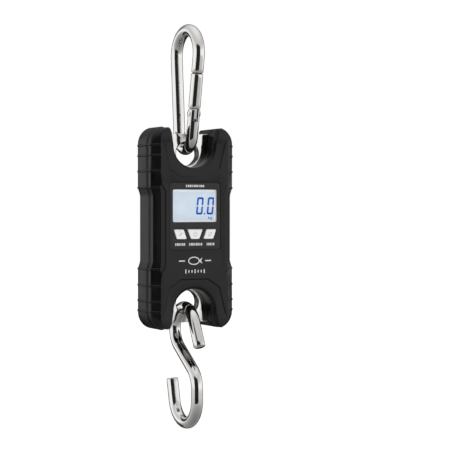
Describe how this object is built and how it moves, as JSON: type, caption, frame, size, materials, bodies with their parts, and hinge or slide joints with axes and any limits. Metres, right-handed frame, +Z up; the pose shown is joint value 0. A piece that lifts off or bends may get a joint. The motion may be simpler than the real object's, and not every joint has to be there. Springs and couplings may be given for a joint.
{
  "type": "digital hanging scale",
  "caption": "Pocket digital hanging scale: black two-shell housing with display and keys, steel load plate, spring-gate carabiner above and S-hook below.",
  "frame": {"origin": "the inside top of the carabiner, where the scale hangs", "axes": "+Z up along the line of pull, -Y out of the display, +X to the display's right"},
  "size_m": [0.0624, 0.0483, 0.2723],
  "materials": {
    "shell_plastic": "fine satin texture",
    "fascia_film": "fine matte film",
    "clear_window": "clear",
    "display_glass": "pale blue display",
    "diffuser": "white light guide",
    "silver_key": "silver moulded key",
    "board": "solder mask",
    "black_resin": "moulded resin",
    "polished_steel": "polished stainless steel",
    "plated_steel": "nickel plated",
    "spring_steel": "bright spring wire",
    "gauge_foil": "foil on film",
    "cell_sleeve": "printed sleeve",
    "red_insulation": "wire insulation",
    "black_insulation": "wire insulation",
    "grey_rubber": "elastomer strip"
  },
  "bodies": {
    "carabiner": {"carabiner_frame": "polished_steel", "gate_pin": "polished_steel", "gate_spring": "spring_steel"},
    "gate": {"carabiner_gate": "polished_steel"},
    "plunger": {"gate_plunger": "plated_steel"},
    "housing": {"front_shell": "shell_plastic", "rear_shell": "shell_plastic", "fascia": "fascia_film", "display_window": "clear_window", "load_plate": "polished_steel", "battery_1": "cell_sleeve", "battery_2": "cell_sleeve", "battery_3": "cell_sleeve", "lcd_glass": "display_glass", "backlight": "diffuser", "lcd_connector": "grey_rubber", "circuit_board": "board", "controller_chip": "black_resin", "switch_left": "black_resin", "switch_centre": "black_resin", "switch_right": "black_resin", "strain_gauge_1": "gauge_foil", "strain_gauge_2": "gauge_foil", "gauge_cable": "black_insulation", "battery_lead_red": "red_insulation", "battery_lead_black": "black_insulation", "battery_spring_1": "spring_steel", "battery_spring_2": "spring_steel", "battery_spring_3": "spring_steel", "contact_plus": "plated_steel", "contact_minus": "plated_steel", "contact_bridge_top": "plated_steel", "contact_bridge_bottom": "plated_steel", "board_screw_1": "plated_steel", "board_screw_2": "plated_steel", "board_screw_3": "plated_steel", "board_screw_4": "plated_steel", "plate_screw_1": "plated_steel", "plate_screw_2": "plated_steel", "case_screw_1": "plated_steel", "case_screw_2": "plated_steel", "case_screw_3": "plated_steel", "case_screw_4": "plated_steel"},
    "hook": {"s_hook": "polished_steel"},
    "button_left": {"button_left": "silver_key"},
    "button_centre": {"button_centre": "silver_key"},
    "button_right": {"button_right": "silver_key"},
    "door": {"battery_door": "shell_plastic"}
  },
  "joints": [
    {"name": "gate_swing", "type": "hinge", "parent": "carabiner", "child": "gate", "pos_m": [0, -0.00919, -0.0525], "axis": [-1, 0, 0], "range_deg": [0, 28], "stiffness_Nm_per_rad": 0.3, "springref_deg": -20.05},
    {"name": "plunger_slide", "type": "slide", "parent": "carabiner", "child": "plunger", "axis": [0, 0.1806, -0.9836], "range_m": [0, 0.00081]},
    {"name": "housing_swing", "type": "hinge", "parent": "carabiner", "child": "housing", "pos_m": [0, 0.0035, -0.0756], "axis": [0, 1, 0], "range_deg": [-35, 35]},
    {"name": "hook_swing", "type": "hinge", "parent": "housing", "child": "hook", "pos_m": [0, 0.0035, -0.1823], "axis": [0, 1, 0], "range_deg": [-35, 35]},
    {"name": "press_left", "type": "slide", "parent": "housing", "child": "button_left", "axis": [0, 1, 0], "range_m": [0, 0.0005], "stiffness_N_per_m": 300},
    {"name": "press_centre", "type": "slide", "parent": "housing", "child": "button_centre", "axis": [0, 1, 0], "range_m": [0, 0.0005], "stiffness_N_per_m": 300},
    {"name": "press_right", "type": "slide", "parent": "housing", "child": "button_right", "axis": [0, 1, 0], "range_m": [0, 0.0005], "stiffness_N_per_m": 300},
    {"name": "door_tilt", "type": "hinge", "parent": "housing", "child": "door", "pos_m": [0, 0.018, -0.1576], "axis": [-1, 0, 0], "range_deg": [0, 60]}
  ],
  "couplings": [
    {"joint": "plunger_slide", "follows": "gate_swing", "m_per_rad": 0.001637}
  ]
}
